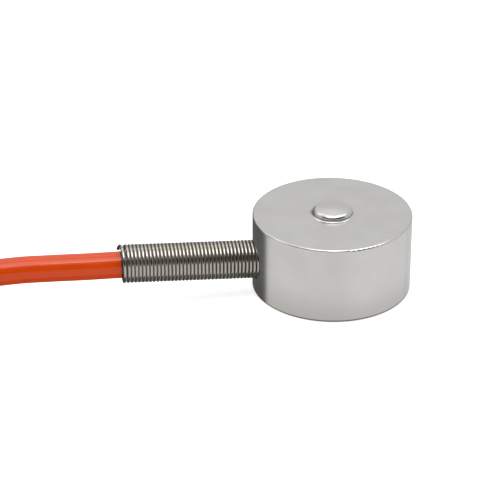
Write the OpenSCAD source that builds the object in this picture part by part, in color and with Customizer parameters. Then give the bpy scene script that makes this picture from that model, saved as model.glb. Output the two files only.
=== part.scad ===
// Button load cell: a stainless puck with a loading button on top, whose cable
// leaves sideways through a close-wound strain relief spring.
// Millimetres, +Z up along the load axis, origin at the centre of the standing
// face, cable towards -X.

/* [Body] */
// Outer diameter of the body
body_d = 20; // [19:0.5:24]
// Height of the body without the button
body_h = 10; // [9.5:0.1:12]
// Round on the top edge
top_edge_r = 0.2; // [0.1:0.05:0.4]
// Chamfer on the bottom edge
base_chamfer = 0.15; // [0.1:0.05:0.3]
// Thickness of the ring wall around the cavity
ring_wall = 2.4; // [2.2:0.1:2.8]
// Thickness of the diaphragm that carries the strain gauges
web_t = 1.3; // [0.8:0.1:1.5]
// Round where the diaphragm meets the ring wall and the boss
cavity_fillet = 0.4; // [0.2:0.1:0.5]

/* [Loading button] */
// Diameter of the button
button_d = 5; // [4:0.5:6]
// Height of the button's straight side
button_wall = 0.15; // [0.1:0.05:0.8]
// Round between the straight side and the crowned face
button_edge_r = 0.5; // [0.1:0.05:0.8]
// Radius of the crowned face
crown_r = 20; // [12:1:40]
// Fillet where the button meets the top face
button_fillet = 0.1; // [0.05:0.01:0.1]
// Diameter of the boss under the diaphragm
boss_d = 5.2; // [4.4:0.1:5.6]

/* [Base cover] */
// Thickness of the cover disc
cover_t = 0.5; // [0.3:0.05:0.6]
// How deep the cover sits above the standing face
cover_recess = 0.2; // [0.1:0.05:0.4]
// Width of the ledge that the cover is welded to
cover_ledge = 0.8; // [0.5:0.1:1.2]
// Gap around the cover disc
cover_gap = 0.02; // [0.01:0.01:0.05]

/* [Strain gauges] */
// Part of the diaphragm's free width that a gauge covers along the radius
gauge_share = 0.58; // [0.5:0.01:0.6]
// Width of a gauge
gauge_w = 2.4; // [2:0.1:2.8]
// Thickness of the backing film
gauge_film_t = 0.08; // [0.05:0.01:0.12]
// Thickness of the foil grid
gauge_foil_t = 0.04; // [0.02:0.01:0.06]
// Width of one foil strand
gauge_strand_w = 0.13; // [0.1:0.01:0.15]
// Number of strands in a grid
gauge_strands = 7; // [5:2:7]
// Distance from strand to strand
gauge_strand_pitch = 0.27; // [0.24:0.01:0.3]
// Width of a solder tab
gauge_tab_w = 0.7; // [0.5:0.1:0.8]

/* [Terminal board] */
// Diameter of the board under the boss as a part of the cavity's diameter
board_share = 0.5526; // [0.54:0.0001:0.56]
// Height of the board's underside above the port's axis
board_port_gap = 1.45; // [1.35:0.05:1.6]
// Thickness of the board
board_t = 0.6; // [0.4:0.1:0.8]
// Length of a trim resistor
resistor_l = 1.6; // [1.2:0.1:1.8]
// Width of a trim resistor
resistor_w = 0.8; // [0.6:0.1:1]
// Height of a trim resistor
resistor_h = 0.45; // [0.3:0.05:0.5]
// Length of the soldered cap at each end of a resistor
resistor_cap = 0.3; // [0.2:0.05:0.4]
// Diameter of a jumper wire
jumper_d = 0.2; // [0.1:0.02:0.26]

/* [Cable port] */
// Height of the port's axis at the body's side
port_z = 4.45; // [4.2:0.05:4.8]
// Angle at which the port rises outwards
port_rise = 3.4; // [2:0.2:4]
// Depth of the pocket that the spring sits in
port_pocket_depth = 1.2; // [1:0.1:1.4]
// Gap around the spring in its pocket
port_pocket_gap = 0.07; // [0.04:0.01:0.12]
// Gap between the gland and the bore through the ring wall
gland_gap = 0.02; // [0.01:0.01:0.04]
// Gap between the gland and the spring that grips it
gland_grip_gap = 0.03; // [0.02:0.01:0.05]
// Gap between the gland's bore and the cable
gland_cable_gap = 0.03; // [0.02:0.01:0.05]
// Radius of the flange on the gland
gland_flange_r = 2.5; // [2.3:0.1:2.6]
// Thickness of the flange on the gland
gland_flange_t = 0.5; // [0.3:0.1:0.6]
// Wall of the crimp ring on the cable's jacket
clamp_wall = 0.4; // [0.3:0.05:0.5]
// Gap between the crimp ring and the gland's flange
clamp_gap = 0.15; // [0.1:0.05:0.3]
// Part of the room between the gland and the board that the crimp ring takes
clamp_share = 0.513; // [0.45:0.001:0.53]

/* [Strain relief spring] */
// Outer diameter of the spring
spring_od = 4.85; // [4.8:0.05:5]
// Diameter of the spring wire
spring_wire_d = 0.44; // [0.4:0.01:0.45]
// Distance from turn to turn of the close winding
spring_pitch = 0.461; // [0.455:0.001:0.5]
// Number of turns
spring_turns = 38; // [30:1:40]
// Part of a turn that the wire's outer end runs on after the last full turn
spring_over_turn = 0.17; // [0.1:0.01:0.3]
// How far the outer end stands away from the close winding
spring_end_pull = 0.25; // [0:0.05:0.3]

/* [Cable] */
// Outer diameter of the cable's jacket
cable_d = 3.35; // [3.2:0.05:3.4]
// Length of jacket that stands out of the crimp ring, inside the body
jacket_end_l = 0.3; // [0.2:0.05:0.4]

/* [Coil] */
// Radius of the coil at the middle of its turns
coil_mid_r = 18; // [18:0.5:22]
// Turns side by side in a layer
coil_layer_turns = 3; // [3:0.5:4]
// Layers on each other
coil_layers = 5; // [3:1:5]
// Gap between the coil and the cable that enters it
coil_entry_gap = 0.2; // [0.1:0.1:0.4]
// Width of the tie's band
tie_w = 2.6; // [2:0.2:3.6]
// Thickness of the tie's band
tie_t = 0.7; // [0.5:0.1:0.9]
// Gap between the tie and the coil
tie_gap = 0.1; // [0.05:0.05:0.2]
// Side of the tie's square head
tie_head = 4.4; // [4:0.2:5]
// Height of the tie's head above its band
tie_head_h = 2.4; // [2:0.2:3]

/* [Flying leads] */
// Diameter of an insulated lead
lead_d = 0.9; // [0.7:0.05:0.95]
// Angle of the coil that the free leads lie along
lead_sweep = 84; // [60:2:90]
// Distance from lead to lead where they lie fanned out
lead_fan = 2; // [1.5:0.1:2.4]
// Diameter of a stripped and tinned end
tinned_d = 0.5; // [0.4:0.05:0.6]
// Angle of the coil that a tinned end covers
tinned_sweep = 10; // [6:1:14]
// Wall of the shrink sleeve on the end of the jacket
sleeve_wall = 0.35; // [0.2:0.05:0.5]
// Gap between the sleeve and the jacket
sleeve_gap = 0.02; // [0.01:0.01:0.05]

/* [Hidden] */

$fn = 64;
// a little more than nothing, for cuts that pass through a face
through = 1;

// heights and radii inside the body
body_r = body_d / 2;
cavity_r = body_r - ring_wall;
cavity_top = body_h - web_t;
boss_r = boss_d / 2;
board_bottom = port_z + board_port_gap;
boss_bottom = board_bottom + board_t;
board_r = cavity_r * board_share;
gauge_l = (cavity_r - boss_r) * gauge_share;
cover_top = cover_recess + cover_t;
cover_pocket_r = cavity_r + cover_ledge;
button_r = button_d / 2;
button_edge_z = body_h + button_wall;

// the spring and what it grips
spring_r = spring_od / 2;
spring_bore_r = spring_r - spring_wire_d;
spring_sides = 6;
spring_steps = 18;
spring_pull_turn = 0.75;
gland_r = spring_bore_r - gland_grip_gap;
cable_r = cable_d / 2;

// places along the port's axis, counted outwards from the body's side
port_pocket_t = -port_pocket_depth;
gland_flange_face = -(body_r - sqrt(pow(cavity_r, 2) - pow(gland_flange_r, 2)))
    - gland_flange_r * sin(port_rise);
gland_inner_t = gland_flange_face - gland_flange_t;
gland_nose_t = -0.1;
clamp_outer_t = gland_inner_t - clamp_gap;
clamp_room = gland_inner_t + (body_r - board_r) / cos(port_rise);
clamp_inner_t = clamp_outer_t - clamp_share * clamp_room;
jacket_end_t = clamp_inner_t - jacket_end_l;
jacket_end = port_point(jacket_end_t);

// the cable's route from the crimp ring inside the body to the coil; in the
// spring it follows the port's axis and sags a little
run_points = [
    jacket_end, port_point(0), port_point(4),
    port_point(8.5) - [0, 0, 0.02], port_point(13) - [0, 0, 0.06], port_point(17) - [0, 0, 0.12],
    [-31, 0.1, 5.42], [-35.5, 0.4, 5.47], [-40, 0.7, 5.42],
    [-43.5, 0.6, 5.2], [-47, -0.4, 4.5], [-50.5, -1.6, 3.5], [-54.5, -2.5, 2.5],
    [-60, -2.35, 1.8], [-66, -2, 1.68]
];
run_sides = 8;

// the coil, which the cable enters along the outside of its lowest layer
run_end = run_points[len(run_points) - 1];
coil_centre = [run_end[0], run_end[1] + coil_mid_r + coil_layer_turns * cable_d / 2];
coil_half_w = (coil_layer_turns + 1) * cable_d / 2;
coil_h = coil_layers * cable_d;
coil_corner_r = cable_r * 0.6;
tail_z = coil_h + cable_r + sleeve_gap + sleeve_wall;
tail_from = 170;
tail_to = 104;
sleeve_from = tail_to + 20;
sleeve_to = tail_to - 6;
sleeve_r = cable_r + sleeve_gap + sleeve_wall;
tie_angle = -40;

// leads leave the jacket on this circle, this far from its end
core_ring_r = 0.85;
lead_start_gap = 0.3;
lead_start_angle = tail_to - lead_start_gap / coil_mid_r * 180 / PI;
lead_end_angle = tail_to - lead_sweep;
tinned_gap = 0.1;
lead_sides = 6;
lead_steps = 12;

// a point on the port's axis
function port_point(t) =
    [-body_r - t * cos(port_rise), 0, port_z + t * sin(port_rise)];

function unit(v) = v / norm(v);

// a smooth step from 0 to 1
function ease(t) = t * t * (3 - 2 * t);

// direction of a route at one of its points
function heading(p, i) =
    unit(p[min(i + 1, len(p) - 1)] - p[max(i - 1, 0)]);

// the ring of corners round one point of a route
function route_ring(p, i, r, sides) =
    let (
        along = heading(p, i),
        side = unit(cross([0, 0, 1], along)),
        top = cross(along, side)
    )
    [for (k = [0:sides - 1])
        p[i] + r * (cos(360 * k / sides) * side + sin(360 * k / sides) * top)];

// faces of a closed tube of rings, with flat ends
function tube_faces(rings, sides) = concat(
    [[for (k = [0:sides - 1]) k]],
    [for (i = [0:rings - 2]) for (k = [0:sides - 1])
        [i * sides + k, (i + 1) * sides + k,
            (i + 1) * sides + (k + 1) % sides, i * sides + (k + 1) % sides]],
    [[for (k = [0:sides - 1]) rings * sides - 1 - k]]
);

// a round cord along a list of points
module cord(points, r, sides) {
    polyhedron(
        points = [for (i = [0:len(points) - 1]) for (c = route_ring(points, i, r, sides)) c],
        faces = tube_faces(len(points), sides),
        convexity = 6
    );
}

// places its children on the port, with +Z along the port's axis
module on_port() {
    translate([-body_r, 0, port_z])
        rotate([0, port_rise - 90, 0])
            children();
}

// a round length on the port's axis, between two places along it
module port_rod(from, to, r) {
    on_port()
        translate([0, 0, from])
            cylinder(h = to - from, r = r);
}

// half section of the solid between two radii and two heights
module half_block(r0, r1, z0, z1) {
    translate([r0, z0])
        square([r1 - r0, z1 - z0]);
}

// half section of the round that fills an inner corner, towards +r or -r
// and +z or -z of the corner
module corner_fill(r, z, radius, dr, dz) {
    difference() {
        translate([r + (dr - 1) / 2 * radius, z + (dz - 1) / 2 * radius])
            square(radius);
        translate([r + dr * radius, z + dz * radius])
            circle(r = radius);
    }
}

// half section of the body's outside with its rounded top edge
module outer_section() {
    half_block(0, body_r, base_chamfer, body_h - top_edge_r);
    half_block(0, body_r - top_edge_r, 0, body_h);
    translate([body_r - top_edge_r, body_h - top_edge_r])
        circle(r = top_edge_r);
}

// half section of the chamfer cut from the bottom edge
module chamfer_section() {
    polygon([
        [body_r - base_chamfer, 0], [body_r + through, -through],
        [body_r + through, base_chamfer + through], [body_r, base_chamfer],
    ]);
}

// half section of the button: straight side, round, crowned face, filleted foot;
// the round runs into the crown's sphere without an edge
module button_section() {
    round_at = button_r - button_edge_r;
    crown_z = button_edge_z - sqrt(pow(crown_r - button_edge_r, 2) - pow(round_at, 2));
    half_block(0, button_r, body_h - through, button_edge_z);
    translate([round_at, button_edge_z])
        circle(r = button_edge_r);
    intersection() {
        half_block(0, round_at * crown_r / (crown_r - button_edge_r), body_h - through, crown_z + crown_r);
        translate([0, crown_z])
            circle(r = crown_r, $fn = 256);
    }
    corner_fill(button_r, body_h, button_fillet, 1, 1);
}

// half section of the ring-shaped cavity, open below
module cavity_section() {
    difference() {
        half_block(0, cavity_r, -through, cavity_top);
        half_block(0, boss_r, boss_bottom, cavity_top);
        corner_fill(boss_r, cavity_top, cavity_fillet, 1, -1);
        corner_fill(cavity_r, cavity_top, cavity_fillet, -1, -1);
    }
    half_block(0, cover_pocket_r, -through, cover_top);
}

module sensing_body() {
    color("silver")
        difference() {
            rotate_extrude()
                difference() {
                    union() {
                        outer_section();
                        button_section();
                    }
                    chamfer_section();
                    cavity_section();
                }
            port_rod(-ring_wall - through, through, gland_r + gland_gap);
            port_rod(port_pocket_t, through, spring_r + port_pocket_gap);
        }
}

module base_cover() {
    color("gainsboro")
        translate([0, 0, cover_recess])
            cylinder(h = cover_t, r = cover_pocket_r - cover_gap);
}

// one foil gauge, bonded under the diaphragm with its tabs towards the boss
module strain_gauge(angle) {
    film_z = cavity_top - gauge_film_t;
    grid_w = (gauge_strands - 1) * gauge_strand_pitch;
    loop = gauge_strand_pitch + gauge_strand_w;
    strand_l = gauge_l - gauge_tab_w - 4 * gauge_strand_w;
    rotate([0, 0, angle])
        translate([(boss_r + cavity_r) / 2 - gauge_l / 2, 0, 0]) {
            translate([0, -gauge_w / 2, film_z])
                cube([gauge_l, gauge_w, gauge_film_t]);
            translate([gauge_tab_w + 2 * gauge_strand_w, -grid_w / 2, film_z - gauge_foil_t])
                linear_extrude(height = gauge_foil_t) {
                    for (i = [0:gauge_strands - 1])
                        translate([0, i * gauge_strand_pitch - gauge_strand_w / 2])
                            square([strand_l, gauge_strand_w]);
                    for (i = [0:gauge_strands - 2])
                        translate([
                            i % 2 == 0 ? strand_l - gauge_strand_w : 0,
                            i * gauge_strand_pitch - gauge_strand_w / 2
                        ])
                            square([gauge_strand_w, loop]);
                    for (side = [0, 1])
                        translate([
                            -gauge_tab_w - gauge_strand_w,
                            side * grid_w - (side == 0 ? gauge_strand_w / 2 : gauge_tab_w - gauge_strand_w / 2)
                        ])
                            square([gauge_tab_w, gauge_tab_w]);
                    for (side = [0, 1])
                        translate([
                            -gauge_strand_w - gauge_strand_w / 2,
                            side * grid_w - gauge_strand_w / 2
                        ])
                            square([gauge_strand_w * 2, gauge_strand_w]);
                }
        }
}

module terminal_board() {
    color("darkgreen")
        translate([0, 0, board_bottom])
            cylinder(h = board_t, r = board_r);
}

// one trim resistor soldered under the board, at a place counted in radii of
// the board
module trim_resistor(x, y, angle) {
    translate([x * board_r, y * board_r, board_bottom - resistor_h])
        rotate([0, 0, angle]) {
            color("black")
                translate([-resistor_l / 2 + resistor_cap, -resistor_w / 2, 0])
                    cube([resistor_l - 2 * resistor_cap, resistor_w, resistor_h]);
            for (end = [-1, 1])
                color("silver")
                    translate([end * (resistor_l - resistor_cap) / 2, 0, resistor_h / 2])
                        cube([resistor_cap, resistor_w, resistor_h], center = true);
        }
}

// two fine wires from each gauge's tabs down to the rim of the board
module jumper_wires() {
    wire_r = board_r - jumper_d;
    wire_top = cavity_top - gauge_film_t - gauge_foil_t;
    color("orangered")
        for (a = [45:90:315])
            for (side = [-1, 1])
                rotate([0, 0, a + side * 7])
                    translate([wire_r, 0, board_bottom + board_t])
                        cylinder(h = wire_top - board_bottom - board_t, r = jumper_d / 2);
}

module cable_gland() {
    color("goldenrod")
        difference() {
            union() {
                port_rod(gland_inner_t, gland_nose_t, gland_r);
                port_rod(gland_inner_t, gland_flange_face, gland_flange_r);
            }
            port_rod(gland_inner_t - through, through, cable_r + gland_cable_gap);
        }
}

module cable_clamp() {
    color("peru")
        difference() {
            port_rod(clamp_inner_t, clamp_outer_t, cable_r + gland_cable_gap + clamp_wall);
            port_rod(clamp_inner_t - through, through, cable_r + gland_cable_gap);
        }
}

// how far the wire's outer end is pulled out at a number of steps from it
function end_pull(from_end) =
    spring_end_pull * pow(max(0, 1 - from_end / (spring_pull_turn * spring_steps)), 1.5);

// close-wound right-hand spring: a wire of six sides swept along a helix
module strain_relief_spring() {
    coil_r = spring_r - spring_wire_d / 2;
    wire_r = spring_wire_d / 2;
    last = round((spring_turns + spring_over_turn) * spring_steps);
    lead = atan(spring_pitch / (2 * PI * coil_r));
    start_t = port_pocket_t + wire_r + gland_gap;
    color("lightgray")
        on_port()
            translate([0, 0, start_t])
                polyhedron(
                    points = [
                        for (i = [0:last])
                            let (
                                turn = 360 * i / spring_steps,
                                t = spring_pitch * i / spring_steps + end_pull(last - i),
                                out = [cos(turn), sin(turn), 0],
                                across = [-sin(turn) * sin(lead), cos(turn) * sin(lead), -cos(lead)]
                            )
                            for (k = [0:spring_sides - 1])
                                let (a = 360 * k / spring_sides)
                                coil_r * out + [0, 0, t]
                                    + wire_r * (cos(a) * out + sin(a) * across)
                    ],
                    faces = tube_faces(last + 1, spring_sides),
                    convexity = 10
                );
}

// one core from the end of the jacket up to its pad under the board, whose
// place is counted in radii of the board
module board_lead(core_angle, pad_x, pad_y) {
    start = jacket_end + [lead_start_gap, core_ring_r * cos(core_angle), core_ring_r * sin(core_angle)];
    end = [pad_x * board_r, pad_y * board_r, board_bottom - lead_d / 2];
    cord([
        for (i = [0:lead_steps])
            let (t = i / lead_steps)
            [
                start[0] + (end[0] - start[0]) * t,
                start[1] + (end[1] - start[1]) * ease(t),
                start[2] + (end[2] - start[2]) * ease(t)
            ]
    ], lead_d / 2, lead_sides);
}

module cable_run() {
    color("orangered")
        cord(run_points, cable_r, run_sides);
}

// half section of the coil with rounded corners
module coil_section() {
    low = coil_mid_r - coil_half_w;
    high = coil_mid_r + coil_half_w;
    half_block(low + coil_corner_r, high - coil_corner_r, 0, coil_h);
    half_block(low, high, coil_corner_r, coil_h - coil_corner_r);
    for (r = [low + coil_corner_r, high - coil_corner_r])
        for (z = [coil_corner_r, coil_h - coil_corner_r])
            translate([r, z])
                circle(r = coil_corner_r);
}

// the space that the entering cable takes at the foot of the coil
module coil_entry() {
    translate([run_end[0] - coil_entry_gap, run_end[1] - cable_d, -through])
        cube([coil_half_w * 2, cable_d * 1.7 + coil_entry_gap, cable_d * 1.7 + through]);
}

// the outer shape of the wound cable, with notches for the tie and for the
// cable that enters
module cable_coil() {
    color("orangered")
        difference() {
            translate([coil_centre[0], coil_centre[1], 0])
                difference() {
                    rotate_extrude()
                        coil_section();
                    rotate([0, 0, tie_angle])
                        translate([coil_mid_r - coil_half_w - through, -tie_w / 2 - tie_gap, -through])
                            cube([2 * (coil_half_w + through), tie_w + 2 * tie_gap, through + tie_t + tie_gap]);
                }
            coil_entry();
        }
}

// part of a round cord that lies on the coil, between two angles
module arc_rod(from, to, r) {
    translate([coil_centre[0], coil_centre[1], tail_z])
        rotate([0, 0, to])
            rotate_extrude(angle = from - to)
                translate([coil_mid_r, 0])
                    circle(r = r);
}

module cable_tail() {
    color("orangered")
        arc_rod(tail_from, tail_to, cable_r);
}

module end_sleeve() {
    color("dimgray")
        difference() {
            arc_rod(sleeve_from, sleeve_to, sleeve_r);
            arc_rod(sleeve_from + through, sleeve_to - through, cable_r + sleeve_gap);
        }
}

module coil_tie() {
    inner_low = coil_mid_r - coil_half_w - tie_gap;
    inner_w = 2 * (coil_half_w + tie_gap);
    inner_h = coil_h + tie_gap - tie_t;
    color("dimgray")
        translate([coil_centre[0], coil_centre[1], 0])
            rotate([0, 0, tie_angle]) {
                difference() {
                    translate([inner_low - tie_t, -tie_w / 2, 0])
                        cube([inner_w + 2 * tie_t, tie_w, inner_h + 2 * tie_t]);
                    translate([inner_low, -tie_w / 2 - through, tie_t])
                        cube([inner_w, tie_w + 2 * through, inner_h]);
                }
                translate([coil_mid_r, -tie_head / 2, inner_h + 2 * tie_t])
                    cube([tie_head, tie_head, tie_head_h]);
            }
}

// path of one flying lead: from its place in the jacket, which ends at
// tail_to, down to its own line on top of the coil
function lead_point(core_angle, line, t) =
    let (
        angle = lead_start_angle + (lead_end_angle - lead_start_angle) * t,
        settle = ease(min(1, t / 0.35)),
        r = coil_mid_r + (1 - settle) * core_ring_r * cos(core_angle) + settle * line * lead_fan,
        z = (1 - settle) * (tail_z + core_ring_r * sin(core_angle)) + settle * (coil_h + lead_d / 2)
    )
    [coil_centre[0] + r * cos(angle), coil_centre[1] + r * sin(angle), z];

module flying_lead(core_angle, line) {
    steps = 2 * lead_steps;
    cord([for (i = [0:steps]) lead_point(core_angle, line, i / steps)], lead_d / 2, lead_sides);
}

// the stripped ends, one on each of the five leads
module tinned_ends() {
    color("silver")
        for (line = [-2:2])
            translate([coil_centre[0], coil_centre[1], coil_h + lead_d / 2])
                rotate([0, 0, lead_end_angle - tinned_gap - tinned_sweep])
                    rotate_extrude(angle = tinned_sweep)
                        translate([coil_mid_r + line * lead_fan, 0])
                            circle(r = tinned_d / 2);
}

sensing_body();
base_cover();
color("orange") strain_gauge(45);  // strain_gauge_1
color("orange") strain_gauge(135);  // strain_gauge_2
color("orange") strain_gauge(225);  // strain_gauge_3
color("orange") strain_gauge(315);  // strain_gauge_4
terminal_board();
trim_resistor(0.286, 0.524, 0);  // trim_resistor_1
trim_resistor(0.286, -0.524, 0);  // trim_resistor_2
trim_resistor(0.667, 0, 90);  // trim_resistor_3
jumper_wires();
cable_gland();
cable_clamp();
strain_relief_spring();
color("red") board_lead(45, -0.381, 0.286);  // board_lead_red
color("black") board_lead(135, -0.381, -0.286);  // board_lead_black
color("green") board_lead(225, -0.524, -0.667);  // board_lead_green
color("white") board_lead(315, -0.524, 0.667);  // board_lead_white
cable_run();
cable_coil();
cable_tail();
coil_tie();
end_sleeve();
color("red") flying_lead(18, 2);  // flying_lead_red
color("black") flying_lead(306, 1);  // flying_lead_black
color("green") flying_lead(234, -1);  // flying_lead_green
color("white") flying_lead(162, -2);  // flying_lead_white
color("silver") flying_lead(90, 0);  // shield_lead
tinned_ends();
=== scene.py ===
import math
import bmesh
import bpy
from mathutils import Matrix, Vector


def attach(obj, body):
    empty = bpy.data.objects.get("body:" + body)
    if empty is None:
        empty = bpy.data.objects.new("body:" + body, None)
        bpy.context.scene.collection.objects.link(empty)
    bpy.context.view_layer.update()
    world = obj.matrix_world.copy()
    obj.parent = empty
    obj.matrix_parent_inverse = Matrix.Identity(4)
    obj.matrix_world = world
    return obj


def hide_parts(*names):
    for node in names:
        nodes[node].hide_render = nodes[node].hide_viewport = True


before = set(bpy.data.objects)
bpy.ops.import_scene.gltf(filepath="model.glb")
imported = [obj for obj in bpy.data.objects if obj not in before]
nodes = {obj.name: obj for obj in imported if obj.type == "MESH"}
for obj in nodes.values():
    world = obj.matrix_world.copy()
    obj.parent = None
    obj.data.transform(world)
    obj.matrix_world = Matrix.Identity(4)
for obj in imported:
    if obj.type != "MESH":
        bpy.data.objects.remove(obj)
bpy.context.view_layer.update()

# The view: a long lens looks down on the cell from the front left, so the
# puck's edges stay almost parallel and the cable leaves the picture's side.
MM = 0.001
VIEW_AZIMUTH = math.radians(-10.207)
VIEW_ELEVATION = math.radians(28.345)
VIEW_DISTANCE = 247.18 * MM
VIEW_AIM = Vector((-10.98, 4.20, 5.0)) * MM
VIEW_ROLL = math.radians(-0.21)
LENS = 145.98

back = Vector((
    math.sin(VIEW_AZIMUTH) * math.cos(VIEW_ELEVATION),
    -math.cos(VIEW_AZIMUTH) * math.cos(VIEW_ELEVATION),
    math.sin(VIEW_ELEVATION),
))
camera_data = bpy.data.cameras.new("photo_camera")
camera_data.lens = LENS
camera_data.sensor_width = 36
camera_data.clip_start = 0.01
camera_data.clip_end = 20
camera = bpy.data.objects.new("photo_camera", camera_data)
camera.matrix_world = (
    Matrix.Translation(VIEW_AIM + back * VIEW_DISTANCE)
    @ (-back).to_track_quat("-Z", "Y").to_matrix().to_4x4()
    @ Matrix.Rotation(VIEW_ROLL, 4, "Z")
)
bpy.context.scene.collection.objects.link(camera)
bpy.context.scene.camera = camera

# The cable: four cores and a braid in one extruded polyurethane jacket. It
# runs out through the spring, sinks to the table and is put away as a coil
# of five layers, wound in and out in turn, with its bare end on top.
CABLE_D = 3.35 * MM
RUN_POINTS = [
    (-4.89, 0, 4.146), (-10, 0, 4.45), (-14, 0, 4.687),
    (-18.49, 0, 4.934), (-22.98, 0, 5.161), (-26.97, 0, 5.338),
    (-31, 0.1, 5.42), (-35.5, 0.4, 5.47), (-40, 0.7, 5.42),
    (-43.5, 0.6, 5.2), (-47, -0.4, 4.5), (-50.5, -1.6, 3.5), (-54.5, -2.5, 2.5),
    (-60, -2.35, 1.8), (-66, -2, 1.68),
]
COIL_MID_R = 18 * MM
COIL_LAYERS = 5
LAYER_TURNS = 3
CLIMB_TURNS = 1 / 4
POINTS_PER_TURN = 24
COIL_SPREAD = LAYER_TURNS * CABLE_D / 2
COIL_CENTRE = Vector((-66 * MM, -2 * MM + COIL_MID_R + COIL_SPREAD, 0))
COIL_TOP = COIL_LAYERS * CABLE_D
ENTRY_ANGLE = math.radians(-90)
TIE_ANGLE = math.radians(-40)
TIE_T = 0.7 * MM
TIE_SPREAD = math.radians(14)
SLEEVE_WALL = 0.35 * MM
SLEEVE_GAP = 0.02 * MM
TAIL_Z = COIL_TOP + CABLE_D / 2 + SLEEVE_GAP + SLEEVE_WALL
TAIL_END = math.radians(104)
TAIL_CLIMB = 0.34
TAIL_SHIFT_FROM = 0.25
TAIL_SHIFT = 0.35


def ease(t):
    """A smooth step from 0 to 1."""
    t = min(1, max(0, t))
    return t * t * (3 - 2 * t)


def coil_point(angle, radius, height):
    """A place in the coil; the lower turns ride up a little over the tie's band."""
    away = math.remainder(angle - TIE_ANGLE, 2 * math.pi)
    lift = TIE_T * math.exp(-((away / TIE_SPREAD) ** 2)) * max(0, 1 - height / COIL_TOP)
    return COIL_CENTRE + Vector((radius * math.cos(angle), radius * math.sin(angle), height + lift))


def coil_points():
    """Centreline of the wound turns, clockwise from above, and of the tail on top."""
    step = 2 * math.pi / POINTS_PER_TURN
    layer_steps = round(LAYER_TURNS * POINTS_PER_TURN)
    climb_steps = round(CLIMB_TURNS * POINTS_PER_TURN)
    points = []
    angle = ENTRY_ANGLE
    for layer in range(COIL_LAYERS):
        inwards = 1 if layer % 2 == 0 else -1
        height = (layer + 0.5) * CABLE_D
        for i in range(layer_steps):
            moved = CABLE_D * i / POINTS_PER_TURN
            points.append(coil_point(angle, COIL_MID_R + inwards * (COIL_SPREAD - moved), height))
            angle -= step
        if layer < COIL_LAYERS - 1:
            for i in range(climb_steps):
                climbed = CABLE_D * ease(i / climb_steps)
                points.append(coil_point(angle, COIL_MID_R - inwards * COIL_SPREAD, height + climbed))
                angle -= step
    sweep = (angle - TAIL_END) % (2 * math.pi)
    tail_steps = round(sweep / step)
    rise = TAIL_Z - (COIL_LAYERS - 0.5) * CABLE_D
    for i in range(tail_steps + 1):
        t = i / tail_steps
        radius = COIL_MID_R - COIL_SPREAD * (1 - ease((t - TAIL_SHIFT_FROM) / TAIL_SHIFT))
        height = TAIL_Z - rise * (1 - ease(t / TAIL_CLIMB))
        points.append(coil_point(angle - sweep * t, radius, height))
    return points


def round_rod(name, points, radius, roundness):
    """A round rod along the points, as a smooth curve with closed ends."""
    curve = bpy.data.curves.new(name, "CURVE")
    curve.dimensions = "3D"
    curve.bevel_depth = radius
    curve.bevel_resolution = roundness
    curve.use_fill_caps = True
    curve.resolution_u = 4
    spline = curve.splines.new("BEZIER")
    spline.bezier_points.add(len(points) - 1)
    for knot, point in zip(spline.bezier_points, points):
        knot.co = point
        knot.handle_left_type = knot.handle_right_type = "AUTO"
    obj = bpy.data.objects.new(name, curve)
    bpy.context.scene.collection.objects.link(obj)
    return obj


# Extruded polyurethane: orange all through, glossy enough to show the lamps
# as stripes, with fine flow lines and a slightly uneven tone. Inside the
# spring the jacket is painted near-black, as painted shade under the turns.
SPRING_SHADE_MIDDLE = -17.9 * MM
SPRING_SHADE_HALF = 8.9 * MM
FLOW_MM = 0.45


def linear(hex_colour):
    """An sRGB hex colour as the linear RGBA that a shader wants."""
    parts = [int(hex_colour[i:i + 2], 16) / 255 for i in (1, 3, 5)]
    return tuple(c / 12.92 if c <= 0.04045 else ((c + 0.055) / 1.055) ** 2.4 for c in parts) + (1,)


def add_node(tree, kind, settings=None, **inputs):
    """Adds a shader node; its inputs, by name or as _number, get values or links."""
    node = tree.nodes.new(kind)
    for key, value in (settings or {}).items():
        setattr(node, key, value)
    for key, value in inputs.items():
        socket = node.inputs[int(key[1:])] if key[1:].isdigit() else node.inputs[key.replace("_", " ")]
        if isinstance(value, bpy.types.NodeSocket):
            tree.links.new(value, socket)
        else:
            socket.default_value = value
    return node


def new_material(name, metallic=0.0, roughness=0.5):
    """A material with its node tree, its shader and its object coordinates."""
    material = bpy.data.materials.new(name)
    material.use_nodes = True
    tree = material.node_tree
    shader = tree.nodes["Principled BSDF"]
    shader.inputs["Metallic"].default_value = metallic
    shader.inputs["Roughness"].default_value = roughness
    coords = add_node(tree, "ShaderNodeTexCoord").outputs["Object"]
    return material, tree, shader, coords


def mix_colours(tree, factor, low, high):
    """The output of a colour mix; each side is a hex colour or a link."""
    sides = [linear(side) if isinstance(side, str) else side for side in (low, high)]
    return add_node(
        tree, "ShaderNodeMix", {"data_type": "RGBA"}, Factor=factor, _6=sides[0], _7=sides[1]).outputs[2]


def fine_bump(tree, shader, height, strength, depth_mm):
    """Links a height to the shader as a bump of a real depth."""
    bump = add_node(tree, "ShaderNodeBump", Height=height, Strength=strength, Distance=depth_mm * MM)
    tree.links.new(bump.outputs["Normal"], shader.inputs["Normal"])


def noise(tree, coords, grain_mm, detail=2.0):
    """A noise whose grains have a real size."""
    return add_node(
        tree, "ShaderNodeTexNoise", Vector=coords, Scale=1 / (grain_mm * MM), Detail=detail).outputs["Fac"]


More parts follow.
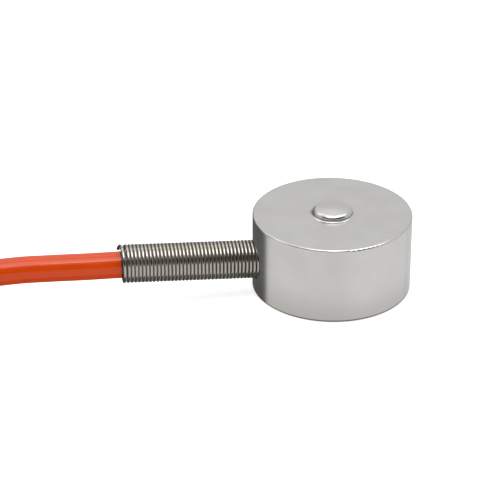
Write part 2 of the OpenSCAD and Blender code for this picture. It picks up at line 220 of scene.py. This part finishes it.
jacket_material, tree, shader, coords = new_material("extruded_polyurethane_orange", roughness=0.16)
jacket_tone = mix_colours(tree, noise(tree, coords, 3.5, 3.0), "#CE4000", "#DA4600")
run_x = add_node(tree, "ShaderNodeSeparateXYZ", Vector=coords).outputs["X"]
# Painted shade: the jacket is near-black where it runs inside the spring.
shade_inside_spring = add_node(
    tree, "ShaderNodeMath", {"operation": "COMPARE"}, _0=run_x, _1=SPRING_SHADE_MIDDLE, _2=SPRING_SHADE_HALF)
tree.links.new(
    mix_colours(tree, shade_inside_spring.outputs["Value"], jacket_tone, "#1C0E06"), shader.inputs["Base Color"])
flow_space = add_node(tree, "ShaderNodeMapping", Vector=coords, Scale=(0.1, 1.0, 1.0)).outputs["Vector"]
fine_bump(tree, shader, noise(tree, flow_space, FLOW_MM), 0.1, 0.03)
shader.inputs["IOR"].default_value = 1.4

cable_points = [Vector(p) * MM for p in RUN_POINTS[:-1]] + coil_points()
cable = round_rod("cable", cable_points, CABLE_D / 2, roundness=9)
cable.data.materials.append(jacket_material)
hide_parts("cable_run", "cable_coil", "cable_tail")
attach(cable, "root")

# The cable's bare end: heat-shrink sleeve, four insulated cores and the
# sleeved shield, which fan out on top of the coil, with tinned tips.
LEAD_D = 0.9 * MM
CORE_RING_R = 0.85 * MM
LEAD_FAN = 2 * MM
LEAD_FROM = TAIL_END - 0.3 * MM / COIL_MID_R
LEAD_TO = TAIL_END - math.radians(84)
LEAD_STEPS = 24
LEAD_SETTLED = 0.35
LEADS = [
    ("flying_lead_red", "lead_red", 18, 2, "#B01408", "#C01C0C"),
    ("flying_lead_black", "lead_black", 306, 1, "#141416", "#1D1D20"),
    ("flying_lead_green", "lead_green", 234, -1, "#0E6A2A", "#147A34"),
    ("flying_lead_white", "lead_white", 162, -2, "#D8D6D0", "#E4E2DC"),
    ("shield_lead", "shield_sleeve", 90, 0, "#C7A01C", "#D6B024"),
]


def insulation(name, shade, colour):
    """Extruded lead insulation: even colour, satin gloss, faint grain."""
    material, tree, shader, coords = new_material(name, roughness=0.32)
    tree.links.new(mix_colours(tree, noise(tree, coords, 1.2), shade, colour), shader.inputs["Base Color"])
    fine_bump(tree, shader, noise(tree, coords, 0.15), 0.15, 0.01)
    return material


def lead_point(core, line, t):
    """A point of a lead's path, from its place in the jacket to its line on the coil."""
    angle = LEAD_FROM + (LEAD_TO - LEAD_FROM) * t
    settle = ease(t / LEAD_SETTLED)
    core = math.radians(core)
    radius = COIL_MID_R + (1 - settle) * CORE_RING_R * math.cos(core) + settle * line * LEAD_FAN
    height = (1 - settle) * (TAIL_Z + CORE_RING_R * math.sin(core)) + settle * (COIL_TOP + LEAD_D / 2)
    return COIL_CENTRE + Vector((radius * math.cos(angle), radius * math.sin(angle), height))


def dress(material, *names):
    """Gives CAD nodes one material."""
    for name in names:
        nodes[name].data.materials.clear()
        nodes[name].data.materials.append(material)


on_cable = []
insulations = {}
for name, slot, core, line, shade, colour in LEADS:
    insulations[slot] = insulation("insulation_" + slot, shade, colour)
    points = [lead_point(core, line, i / LEAD_STEPS) for i in range(LEAD_STEPS + 1)]
    flying = round_rod(name + "_wire", points, LEAD_D / 2, roundness=4)
    flying.data.materials.append(insulations[slot])
    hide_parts(name)
    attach(flying, "root")
    on_cable.append(flying)

tinned_material, tree, shader, coords = new_material("tinned_copper_strands", metallic=1.0, roughness=0.3)
tree.links.new(
    mix_colours(tree, noise(tree, coords, 0.6), "#B9B6B0", "#D8D6D2"), shader.inputs["Base Color"])
fine_bump(tree, shader, noise(tree, coords, 0.12), 0.5, 0.03)
dress(tinned_material, "tinned_ends")

sleeve_material, tree, shader, coords = new_material("shrunk_polyolefin_black", roughness=0.55)
tree.links.new(
    mix_colours(tree, noise(tree, coords, 0.8), "#17171A", "#222226"), shader.inputs["Base Color"])
fine_bump(tree, shader, noise(tree, coords, 0.2, 3.0), 0.3, 0.03)
dress(sleeve_material, "end_sleeve")

# The cable tie: a moulded nylon band round the coil's turns, with ratchet
# teeth outside and a square head on top that holds the cut-off end.
TIE_W = 2.6 * MM
TIE_GAP = 0.1 * MM
TIE_ROUND = 1.5 * MM
CORNER_STEPS = 8
BAND_EDGE = 0.12 * MM
BAND_SHARP = 0.8
HEAD = Vector((4.4, 4.4, 2.4)) * MM
HEAD_ROUND = 0.45 * MM
CUT_END_OUT = 0.5 * MM
CUT_END_L = 0.6 * MM
CUT_END_UP = 0.8 * MM
TOOTH_MM = 0.9
nylon_material, tree, shader, coords = new_material("moulded_nylon_black", roughness=0.42)
tree.links.new(
    mix_colours(tree, noise(tree, coords, 1.5), "#101012", "#1C1C1F"), shader.inputs["Base Color"])
teeth_space = add_node(
    tree, "ShaderNodeMapping", Vector=coords, Rotation=(0, 0, -TIE_ANGLE)).outputs["Vector"]
teeth_axes = add_node(tree, "ShaderNodeSeparateXYZ", Vector=teeth_space)
along = add_node(
    tree, "ShaderNodeMath", {"operation": "ADD"},
    _0=teeth_axes.outputs["X"], _1=teeth_axes.outputs["Z"]).outputs["Value"]
tooth = add_node(
    tree, "ShaderNodeMath", {"operation": "PINGPONG"}, _0=along, _1=TOOTH_MM * MM / 2).outputs["Value"]
teeth = add_node(
    tree, "ShaderNodeMapRange", Value=tooth, _2=TOOTH_MM * MM / 2).outputs["Result"]
fine_bump(tree, shader, teeth, 0.6, 0.12)


def mesh_object(name, bm, material, smooth=True):
    """Turns a bmesh into an object with one material."""
    mesh = bpy.data.meshes.new(name)
    bmesh.ops.recalc_face_normals(bm, faces=bm.faces)
    for face in bm.faces:
        face.smooth = smooth
    bm.to_mesh(mesh)
    bm.free()
    mesh.materials.append(material)
    obj = bpy.data.objects.new(name, mesh)
    bpy.context.scene.collection.objects.link(obj)
    return obj


def rounded_box(low, high, radius, steps):
    """Corners of a rounded rectangle in the (r, z) plane, counterclockwise."""
    corners = [(high[0], high[1], 0), (low[0], high[1], 90), (low[0], low[1], 180), (high[0], low[1], 270)]
    loop = []
    for r, z, first in corners:
        centre_r = r - radius if r == high[0] else r + radius
        centre_z = z - radius if z == high[1] else z + radius
        for i in range(steps + 1):
            a = math.radians(first + 90 * i / steps)
            loop.append((centre_r + radius * math.cos(a), centre_z + radius * math.sin(a)))
    return loop


bm = bmesh.new()
coil_half_w = (LAYER_TURNS + 1) * CABLE_D / 2
inner_low = (COIL_MID_R - coil_half_w - TIE_GAP, TIE_T)
inner_high = (COIL_MID_R + coil_half_w + TIE_GAP, COIL_TOP + TIE_GAP)
outer_low = (inner_low[0] - TIE_T, 0)
outer_high = (inner_high[0] + TIE_T, inner_high[1] + TIE_T)
loops = []
for side in (-0.5, 0.5):
    for low, high, radius in ((inner_low, inner_high, TIE_ROUND), (outer_low, outer_high, TIE_ROUND + TIE_T)):
        corners = rounded_box(low, high, radius, CORNER_STEPS)
        loops.append([bm.verts.new((r, side * TIE_W, z)) for r, z in corners])
for first, second in ((0, 1), (1, 3), (3, 2), (2, 0)):
    for k in range(len(loops[0])):
        n = (k + 1) % len(loops[0])
        bm.faces.new((loops[first][k], loops[first][n], loops[second][n], loops[second][k]))
sharp_edges = [e for e in bm.edges if e.calc_face_angle(0) > BAND_SHARP]
bmesh.ops.bevel(bm, geom=sharp_edges, offset=BAND_EDGE, segments=2, affect="EDGES")
head = bmesh.ops.create_cube(bm, size=1)["verts"]
for vert in head:
    vert.co = Vector((
        COIL_MID_R + (vert.co.x + 0.5) * HEAD.x, vert.co.y * HEAD.y,
        outer_high[1] + (vert.co.z + 0.5) * HEAD.z))
head_edges = {e for v in head for e in v.link_edges}
bmesh.ops.bevel(bm, geom=list(head_edges), offset=HEAD_ROUND, segments=3, affect="EDGES")
cut_end = bmesh.ops.create_cube(bm, size=1)["verts"]
for vert in cut_end:
    vert.co = Vector((
        COIL_MID_R - CUT_END_OUT + (vert.co.x + 0.5) * CUT_END_L, vert.co.y * TIE_W,
        outer_high[1] + CUT_END_UP + (vert.co.z + 0.5) * TIE_T))
bm.transform(Matrix.Translation(COIL_CENTRE) @ Matrix.Rotation(TIE_ANGLE, 4, "Z"))
tie = mesh_object("cable_tie", bm, nylon_material)
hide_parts("coil_tie")
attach(tie, "root")
on_cable += [tie, nodes["end_sleeve"], nodes["tinned_ends"]]

# The spring: bright drawn stainless wire, close wound right-handed on a
# mandrel. Its first turns sit in the pocket in the body's side, and the
# wire's outer end stands a little away from the winding.
BODY_R = 10 * MM
PORT_Z = 4.45 * MM
PORT_RISE = math.radians(3.4)
POCKET_DEPTH = 1.2 * MM
SPRING_R = 2.425 * MM
WIRE_R = 0.22 * MM
SPRING_PITCH = 0.461 * MM
SPRING_TURNS = 38
SPRING_OVER = 0.17
SPRING_PULL = 0.25 * MM
PULLED_TURN = 0.75
SPRING_STEPS = 48
WIRE_SIDES = 16
GLAND_GAP = 0.02 * MM
port_frame = (
    Matrix.Translation((-BODY_R, 0, PORT_Z))
    @ Matrix.Rotation(PORT_RISE - math.radians(90), 4, "Y")
)


def port_radius(tree, coords):
    """Distance from the cable port's axis."""
    from_port = add_node(
        tree, "ShaderNodeVectorMath", {"operation": "SUBTRACT"}, _0=coords, _1=(-BODY_R, 0, PORT_Z))
    off_axis = add_node(
        tree, "ShaderNodeVectorMath", {"operation": "CROSS_PRODUCT"}, _0=from_port.outputs["Vector"],
        _1=(-math.cos(PORT_RISE), 0, math.sin(PORT_RISE)))
    return add_node(
        tree, "ShaderNodeVectorMath", {"operation": "LENGTH"}, _0=off_axis.outputs["Vector"]
    ).outputs["Value"]


# Drawn stainless wire: bright on the crests, with a slight straw tint. Painted
# shade darkens the grooves between the turns, most towards the bottom.
GROOVE_FROM = 2.345 * MM
GROOVE_TO = 2.408 * MM
GROOVE_SHADE_LOW = 4.6 * MM
GROOVE_SHADE_HIGH = 6.6 * MM
wire_material, tree, shader, coords = new_material("drawn_stainless_wire", metallic=1.0)
turn_tone = noise(tree, coords, 2.5 * SPRING_PITCH / MM)
# Painted shade: the grooves between the turns are darkened, darker lower down.
crest = add_node(
    tree, "ShaderNodeMapRange", Value=port_radius(tree, coords), _1=GROOVE_FROM, _2=GROOVE_TO)
wire_tone = mix_colours(tree, turn_tone, "#A09A91", "#B6B0A6")
wire_z = add_node(tree, "ShaderNodeSeparateXYZ", Vector=coords).outputs["Z"]
groove_shade_by_height = add_node(tree, "ShaderNodeMapRange", Value=wire_z, _1=GROOVE_SHADE_LOW, _2=GROOVE_SHADE_HIGH)
groove_painted_shade = mix_colours(tree, groove_shade_by_height.outputs["Result"], "#221E1A", "#6A645A")
tree.links.new(
    mix_colours(tree, crest.outputs["Result"], groove_painted_shade, wire_tone), shader.inputs["Base Color"])
dull = add_node(tree, "ShaderNodeMapRange", Value=turn_tone, _3=0.1, _4=0.2)
tree.links.new(dull.outputs["Result"], shader.inputs["Roughness"])

bm = bmesh.new()
coil_r = SPRING_R - WIRE_R
lead = math.atan(SPRING_PITCH / (2 * math.pi * coil_r))
start = -POCKET_DEPTH + WIRE_R + GLAND_GAP
last = round((SPRING_TURNS + SPRING_OVER) * SPRING_STEPS)
rings = []
for i in range(last + 1):
    turn = 2 * math.pi * i / SPRING_STEPS
    pull = SPRING_PULL * max(0, 1 - (last - i) / (PULLED_TURN * SPRING_STEPS)) ** 1.5
    out = Vector((math.cos(turn), math.sin(turn), 0))
    across = Vector((
        math.sin(turn) * math.sin(lead), -math.cos(turn) * math.sin(lead), math.cos(lead)))
    centre = coil_r * out + Vector((0, 0, start + SPRING_PITCH * i / SPRING_STEPS + pull))
    ring = []
    for k in range(WIRE_SIDES):
        a = 2 * math.pi * k / WIRE_SIDES
        ring.append(bm.verts.new(
            port_frame @ (centre + WIRE_R * (math.cos(a) * out + math.sin(a) * across))))
    rings.append(ring)
for low, high in zip(rings, rings[1:]):
    for k in range(WIRE_SIDES):
        n = (k + 1) % WIRE_SIDES
        bm.faces.new((low[k], high[k], high[n], low[n]))
bm.faces.new(rings[0])
bm.faces.new(rings[-1])
spring = mesh_object("strain_relief_coils", bm, wire_material)
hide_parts("strain_relief_spring")
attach(spring, "root")

# Neither is mirrored in the body, whose left end shows only the dark corner.
cable.visible_glossy = False
spring.visible_glossy = False
bpy.context.view_layer.update()

# The sensing body: ring, diaphragm and button turned from one bar of
# stainless steel, then blasted fine, so it is satin with faint turning marks
# and soft stains from cleaning; painted shade darkens its side towards the
# table and draws a thin dark line along its bottom edge.
TURNING_MM = 0.16
STAIN_MM = 3.5
TABLE_SHADE_FULL_BELOW = -0.6 * MM
TABLE_SHADE_GONE_ABOVE = 4.8 * MM
CONTACT_SHADE_FULL_BELOW = 0.22 * MM
CONTACT_SHADE_GONE_ABOVE = 0.34 * MM
FOOT_R = 2.5 * MM
FOOT_WIDTH = 0.3 * MM
FOOT_RISE = 0.115 * MM
steel_material, tree, shader, coords = new_material("turned_stainless_steel", metallic=1.0)
axes = add_node(tree, "ShaderNodeSeparateXYZ", Vector=coords)
flat = add_node(tree, "ShaderNodeCombineXYZ", X=axes.outputs["X"], Y=axes.outputs["Y"])
from_middle = add_node(
    tree, "ShaderNodeVectorMath", {"operation": "LENGTH"}, _0=flat.outputs["Vector"]).outputs["Value"]
turned = add_node(tree, "ShaderNodeCombineXYZ", X=from_middle, Z=axes.outputs["Z"]).outputs["Vector"]
marks = noise(tree, turned, TURNING_MM, 3.0)
stains = noise(tree, coords, STAIN_MM, 4.0)
stained_steel = mix_colours(tree, stains, "#BDBBB8", "#CACAC8")
# Painted shade: the side grows darker towards the table.
table_shade_fade = add_node(
    tree, "ShaderNodeMapRange", {"interpolation_type": "SMOOTHSTEP"}, Value=axes.outputs["Z"],
    _1=TABLE_SHADE_FULL_BELOW, _2=TABLE_SHADE_GONE_ABOVE)
steel_with_table_shade = mix_colours(tree, table_shade_fade.outputs["Result"], "#B0ADAA", stained_steel)
# Painted shade: a thin dark line along the bottom edge, where the body meets the table.
contact_shade_fade = add_node(
    tree, "ShaderNodeMapRange", Value=axes.outputs["Z"], _1=CONTACT_SHADE_FULL_BELOW, _2=CONTACT_SHADE_GONE_ABOVE)
tree.links.new(
    mix_colours(tree, contact_shade_fade.outputs["Result"], "#5A534E", steel_with_table_shade),
    shader.inputs["Base Color"])
satin = add_node(tree, "ShaderNodeMapRange", Value=marks, _3=0.17, _4=0.25)
tree.links.new(satin.outputs["Result"], shader.inputs["Roughness"])
# The turning tool's round nose leaves a slope all round the button's foot.
foot = add_node(
    tree, "ShaderNodeMapRange", Value=from_middle, _1=FOOT_R, _2=FOOT_R + FOOT_WIDTH, _3=1.0, _4=0.0)
foot_bump = add_node(
    tree, "ShaderNodeBump", Height=foot.outputs["Result"], Strength=1.0, Distance=FOOT_RISE)
turned_bump = add_node(
    tree, "ShaderNodeBump", Height=marks, Strength=0.05, Distance=0.01 * MM,
    Normal=foot_bump.outputs["Normal"])
tree.links.new(turned_bump.outputs["Normal"], shader.inputs["Normal"])
dress(steel_material, "sensing_body")

# The base cover: a thin steel disc, ground in one direction, whose edge is
# laser welded to the ring; the weld is a bead of small even ripples.
cover_material, tree, shader, coords = new_material("ground_cover_steel", metallic=1.0)
grind_space = add_node(tree, "ShaderNodeMapping", Vector=coords, Scale=(1.0, 0.03, 1.0)).outputs["Vector"]
grind = noise(tree, grind_space, 0.09, 4.0)
tree.links.new(mix_colours(tree, grind, "#A9A7A5", "#C9C8C6"), shader.inputs["Base Color"])
rough = add_node(tree, "ShaderNodeMapRange", Value=grind, _3=0.22, _4=0.42)
tree.links.new(rough.outputs["Result"], shader.inputs["Roughness"])
fine_bump(tree, shader, grind, 0.2, 0.02)
dress(cover_material, "base_cover")

weld_material, tree, shader, coords = new_material("laser_weld_bead", metallic=1.0, roughness=0.38)
tree.links.new(
    mix_colours(tree, noise(tree, coords, 0.9, 3.0), "#8F877C", "#B9B3AA"), shader.inputs["Base Color"])
fine_bump(tree, shader, noise(tree, coords, 0.1), 0.3, 0.02)
WELD_R = 8.39 * MM
WELD_Z = 0.2 * MM
BEAD_R = 0.11 * MM
BEAD_WIDENING = 1.4
BEAD_SIDES = 8
RIPPLES = 150
RIPPLE_STEPS = 4
RIPPLE_DEPTH = 0.16
bm = bmesh.new()
rings = []
for i in range(RIPPLE_STEPS * RIPPLES):
    turn = 2 * math.pi * i / (RIPPLE_STEPS * RIPPLES)
    bead = BEAD_R * (1 + RIPPLE_DEPTH * math.cos(RIPPLES * turn))
    out = Vector((math.cos(turn), math.sin(turn), 0))
    ring = []
    for k in range(BEAD_SIDES):
        a = 2 * math.pi * k / BEAD_SIDES
        away = WELD_R + BEAD_WIDENING * bead * math.cos(a)
        ring.append(bm.verts.new(out * away + Vector((0, 0, WELD_Z + bead * math.sin(a)))))
    rings.append(ring)
for low, high in zip(rings, rings[1:] + rings[:1]):
    for k in range(BEAD_SIDES):
        n = (k + 1) % BEAD_SIDES
        bm.faces.new((low[k], high[k], high[n], low[n]))
weld = mesh_object("cover_weld", bm, weld_material)
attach(weld, "root")

# The strain gauges: amber polyimide film bonded under the diaphragm, with a
# grid and two solder tabs of grey constantan foil below it.
FILM_UNDERSIDE = 8.61 * MM
gauge_material, tree, shader, coords = new_material("polyimide_film_and_foil")
height = add_node(tree, "ShaderNodeSeparateXYZ", Vector=coords).outputs["Z"]
is_film = add_node(
    tree, "ShaderNodeMath", {"operation": "GREATER_THAN"}, _0=height, _1=FILM_UNDERSIDE).outputs["Value"]
film_tone = mix_colours(tree, noise(tree, coords, 0.5), "#B5651A", "#CB7A26")
foil_tone = mix_colours(tree, noise(tree, coords, 0.3), "#8D857C", "#A79F95")
tree.links.new(mix_colours(tree, is_film, foil_tone, film_tone), shader.inputs["Base Color"])
is_foil = add_node(tree, "ShaderNodeMath", {"operation": "SUBTRACT"}, _0=1.0, _1=is_film).outputs["Value"]
tree.links.new(is_foil, shader.inputs["Metallic"])
shader.inputs["Roughness"].default_value = 0.33
dress(gauge_material, "strain_gauge_1", "strain_gauge_2", "strain_gauge_3", "strain_gauge_4")

# The terminal board: glass epoxy under green solder mask, with gold plated
# pads round the four cores of the cable.
PADS = [(-1.6, 1.2), (-2.2, 2.8)]
PAD_R = 0.62 * MM
board_material, tree, shader, coords = new_material("solder_mask_on_epoxy", roughness=0.38)
axes = add_node(tree, "ShaderNodeSeparateXYZ", Vector=coords)
either_side = add_node(tree, "ShaderNodeMath", {"operation": "ABSOLUTE"}, _0=axes.outputs["Y"])
folded = add_node(
    tree, "ShaderNodeCombineXYZ", X=axes.outputs["X"], Y=either_side.outputs["Value"]).outputs["Vector"]
gaps = [
    add_node(
        tree, "ShaderNodeVectorMath", {"operation": "DISTANCE"}, _0=folded, _1=(x * MM, y * MM, 0)
    ).outputs["Value"]
    for x, y in PADS]
nearest = add_node(tree, "ShaderNodeMath", {"operation": "MINIMUM"}, _0=gaps[0], _1=gaps[1])
is_pad = add_node(
    tree, "ShaderNodeMath", {"operation": "LESS_THAN"}, _0=nearest.outputs["Value"], _1=PAD_R
).outputs["Value"]
mask_tone = mix_colours(tree, noise(tree, coords, 0.4, 3.0), "#0D4A22", "#14602E")
pad_tone = mix_colours(tree, noise(tree, coords, 0.2), "#C79A3A", "#DDB252")
tree.links.new(mix_colours(tree, is_pad, mask_tone, pad_tone), shader.inputs["Base Color"])
tree.links.new(is_pad, shader.inputs["Metallic"])
fine_bump(tree, shader, noise(tree, coords, 0.25), 0.25, 0.02)
dress(board_material, "terminal_board")


# The trim resistors: glazed ceramic chips soldered to the board, which
# balance the bridge; their two ends are bright with solder.
CAP_FROM = 0.5 * MM


def resistor_material(name, axis, centre_mm):
    """Dark glazed chip with soldered caps at both ends along one axis."""
    material, tree, shader, coords = new_material(name, roughness=0.35)
    place = add_node(tree, "ShaderNodeSeparateXYZ", Vector=coords).outputs[axis]
    away = add_node(
        tree, "ShaderNodeMath", {"operation": "SUBTRACT"}, _0=place, _1=centre_mm * MM).outputs["Value"]
    distance = add_node(tree, "ShaderNodeMath", {"operation": "ABSOLUTE"}, _0=away).outputs["Value"]
    is_cap = add_node(
        tree, "ShaderNodeMath", {"operation": "GREATER_THAN"}, _0=distance, _1=CAP_FROM).outputs["Value"]
    glaze = mix_colours(tree, noise(tree, coords, 0.3), "#121214", "#1E1E22")
    solder = mix_colours(tree, noise(tree, coords, 0.15), "#A8A6A2", "#CFCDC9")
    tree.links.new(mix_colours(tree, is_cap, glaze, solder), shader.inputs["Base Color"])
    tree.links.new(is_cap, shader.inputs["Metallic"])
    fine_bump(tree, shader, noise(tree, coords, 0.12), 0.3, 0.02)
    return material


dress(resistor_material("glazed_chip_across", "X", 1.2), "trim_resistor_1", "trim_resistor_2")
dress(resistor_material("glazed_chip_along", "Y", 0.0), "trim_resistor_3")

# Inside wiring: enamelled jumpers from the gauges to the board, and the
# cable's four cores, stripped of jacket and braid.
enamel_material, tree, shader, coords = new_material("enamelled_copper_wire", roughness=0.25)
tree.links.new(
    mix_colours(tree, noise(tree, coords, 0.4), "#8A3A14", "#A84E20"), shader.inputs["Base Color"])
shader.inputs["Metallic"].default_value = 0.6
dress(enamel_material, "jumper_wires")
for colour in ("red", "black", "green", "white"):
    dress(insulations["lead_" + colour], "board_lead_" + colour)

# The gland and the crimp ring: a turned brass bush that the spring's first
# turns grip, and a copper ring crimped on the jacket, which takes the pull.
brass_material, tree, shader, coords = new_material("turned_brass", metallic=1.0)
from_port = port_radius(tree, coords)
axes = add_node(tree, "ShaderNodeSeparateXYZ", Vector=coords)
rings_at = add_node(tree, "ShaderNodeCombineXYZ", X=axes.outputs["X"], Y=from_port).outputs["Vector"]
brass_marks = noise(tree, rings_at, 0.08, 3.0)
tree.links.new(mix_colours(tree, brass_marks, "#B08A42", "#CFA95C"), shader.inputs["Base Color"])
rough = add_node(tree, "ShaderNodeMapRange", Value=brass_marks, _3=0.2, _4=0.36)
tree.links.new(rough.outputs["Result"], shader.inputs["Roughness"])
fine_bump(tree, shader, brass_marks, 0.2, 0.02)
dress(brass_material, "cable_gland")

copper_material, tree, shader, coords = new_material("crimped_copper", metallic=1.0, roughness=0.34)
tree.links.new(
    mix_colours(tree, noise(tree, coords, 0.7, 3.0), "#A8643C", "#C9835A"), shader.inputs["Base Color"])
dents = add_node(
    tree, "ShaderNodeTexVoronoi", {"feature": "SMOOTH_F1"}, Vector=coords, Scale=1 / (0.9 * MM))
fine_bump(tree, shader, dents.outputs["Distance"], 0.5, 0.08)
dress(copper_material, "cable_clamp")

# The table: a white sheet that renders as pure white and keeps a faint
# contact shadow. It glows a little, but only for the camera.
FLOOR_HALF = 3
FLOOR_GLOW = 0.62
bm = bmesh.new()
bmesh.ops.create_grid(bm, x_segments=8, y_segments=8, size=FLOOR_HALF)
floor_material, tree, shader, coords = new_material("white_table_sheet", roughness=0.9)
tree.links.new(
    mix_colours(tree, noise(tree, coords, 1.1), "#F0F0F0", "#F6F6F6"), shader.inputs["Base Color"])
shader.inputs["Emission Color"].default_value = (1, 1, 1, 1)
light_path = add_node(tree, "ShaderNodeLightPath")
glow = add_node(
    tree, "ShaderNodeMath", {"operation": "MULTIPLY"},
    _0=light_path.outputs["Is Camera Ray"], _1=FLOOR_GLOW)
tree.links.new(glow.outputs["Value"], shader.inputs["Emission Strength"])
floor = mesh_object("table_sheet", bm, floor_material)
floor.visible_glossy = False

# The light: a wide softbox overhead, turned towards the camera, and a small
# strip over the cable. What the metal mirrors is painted in the surround.
SOFTBOX_LEVEL = 1.6
SOFTBOX_SIZE = (0.6, 0.46)
SOFTBOX_PLACE = Vector((0, 0.1, 0.4))
STRIP_LEVEL = 7.0
STRIP_SIZE = (0.07, 0.03)
STRIP_PLACE = Vector((-0.015, -0.097, 0.3))
AROUND = math.radians(-10.2)


def area_lamp(name, size, place, turn, level):
    """A rectangular lamp that looks straight down."""
    data = bpy.data.lights.new(name, "AREA")
    data.shape = "RECTANGLE"
    data.size, data.size_y = size
    data.energy = level * math.pi * size[0] * size[1]
    lamp = bpy.data.objects.new(name, data)
    lamp.matrix_world = Matrix.Rotation(turn, 4, "Z") @ Matrix.Translation(place)
    bpy.context.scene.collection.objects.link(lamp)
    return lamp


softbox = area_lamp("overhead_softbox", SOFTBOX_SIZE, SOFTBOX_PLACE, AROUND, SOFTBOX_LEVEL)
softbox.visible_glossy = False
area_lamp("cable_strip", STRIP_SIZE, STRIP_PLACE, 0, STRIP_LEVEL)

# The surround: white paper all round with bright fields above, the dark room
# behind the camera, and a dark corner at the back left. Each patch has its
# azimuths from -Y towards +X, its elevations, its soft edge and its level.
AMBIENT = 0.62
SURROUND_BASE = 0.82
SURROUND = [
    ((-120, 120), (-60, 8), 6, 1.0),     # paper and table in front, which the body's side shows
    ((10, 90), (-60, 0), 20, 1.06),      # a little brighter at the front right
    ((-80, 66), (11, 50), 5, 0.16),      # the room behind the camera
    ((-20, 44), (11, 50), 6, 0.02),      # its darkest part, a black stripe along the spring
    ((-180, 180), (78, 91), 3, 4.0),     # bright fields: straight above
    ((-100, 100), (64, 81), 3, 4.0),     # above the front, which lights the rim and the button's edge
    ((70, 130), (62, 80), 3, 3.6),       # above the right
    ((130, 212), (62, 78), 3, 1.6),      # above the back
    ((80, 200), (48, 60), 3, 2.6),       # lower at the back right
    ((205, 252), (40, 56), 3, 2.0),      # lower at the left
    ((150, 190), (36, 48), 5, 1.4),      # a glow on the button's crown
    ((162, 178), (31, 44), 5, 1.2),      # and in the middle of it
    ((-180, 180), (-91, -56), 6, 0.15),  # the shade straight below
    ((-193, -122), (-75, -2), 3, 0.14),  # the dark corner, which the body's left end shows
    ((-178, -126), (-8, 22), 4, 0.3),    # and its paler upper part
]
world = bpy.data.worlds.new("white_studio")
world.use_nodes = True
bpy.context.scene.world = world
tree = world.node_tree
tree.nodes.clear()
ray = add_node(tree, "ShaderNodeTexCoord").outputs["Generated"]
direction = add_node(tree, "ShaderNodeSeparateXYZ", Vector=ray)
southwards = add_node(tree, "ShaderNodeMath", {"operation": "MULTIPLY"}, _0=direction.outputs["Y"], _1=-1.0)
azimuth = add_node(
    tree, "ShaderNodeMath", {"operation": "ARCTAN2"},
    _0=direction.outputs["X"], _1=southwards.outputs["Value"])
elevation = add_node(tree, "ShaderNodeMath", {"operation": "ARCSINE"}, _0=direction.outputs["Z"])


def surround_patch(below, azimuths, elevations, soft, level):
    """Paints one soft-edged patch of the surround over what is below it."""
    masks = []
    for angle, (low, high) in ((azimuth, azimuths), (elevation, elevations)):
        middle, half = math.radians((low + high) / 2), math.radians((high - low) / 2)
        edge = math.radians(soft)
        away = add_node(
            tree, "ShaderNodeMath", {"operation": "SUBTRACT"}, _0=angle.outputs["Value"], _1=middle)
        near = add_node(
            tree, "ShaderNodeMath", {"operation": "WRAP"},
            _0=away.outputs["Value"], _1=math.pi, _2=-math.pi)
        size = add_node(tree, "ShaderNodeMath", {"operation": "ABSOLUTE"}, _0=near.outputs["Value"])
        masks.append(add_node(
            tree, "ShaderNodeMapRange", {"interpolation_type": "SMOOTHSTEP"},
            Value=size.outputs["Value"], _1=half - edge, _2=half + edge, _3=1.0, _4=0.0))
    both = add_node(
        tree, "ShaderNodeMath", {"operation": "MULTIPLY"},
        _0=masks[0].outputs["Result"], _1=masks[1].outputs["Result"])
    mixed = add_node(
        tree, "ShaderNodeMix", {"data_type": "FLOAT"}, _0=both.outputs["Value"], _2=below, _3=level)
    return mixed.outputs[0]


surround = SURROUND_BASE
for azimuths, elevations, soft, level in SURROUND:
    surround = surround_patch(surround, azimuths, elevations, soft, level)
light_path = add_node(tree, "ShaderNodeLightPath")
ambient = add_node(tree, "ShaderNodeBackground", Color=(1, 1, 1, 1), Strength=AMBIENT)
white = add_node(tree, "ShaderNodeBackground", Color=(1, 1, 1, 1), Strength=1.0)
mirrored = add_node(tree, "ShaderNodeBackground", Color=(1, 1, 1, 1), Strength=surround)
by_gloss = add_node(
    tree, "ShaderNodeMixShader", _0=light_path.outputs["Is Glossy Ray"],
    _1=ambient.outputs["Background"], _2=mirrored.outputs["Background"])
by_clear = add_node(
    tree, "ShaderNodeMixShader", _0=light_path.outputs["Is Transmission Ray"],
    _1=by_gloss.outputs["Shader"], _2=white.outputs["Background"])
by_camera = add_node(
    tree, "ShaderNodeMixShader", _0=light_path.outputs["Is Camera Ray"],
    _1=by_clear.outputs["Shader"], _2=white.outputs["Background"])
add_node(tree, "ShaderNodeOutputWorld", Surface=by_camera.outputs["Shader"])

bpy.context.scene.view_settings.view_transform = "Standard"

bpy.context.view_layer.update()
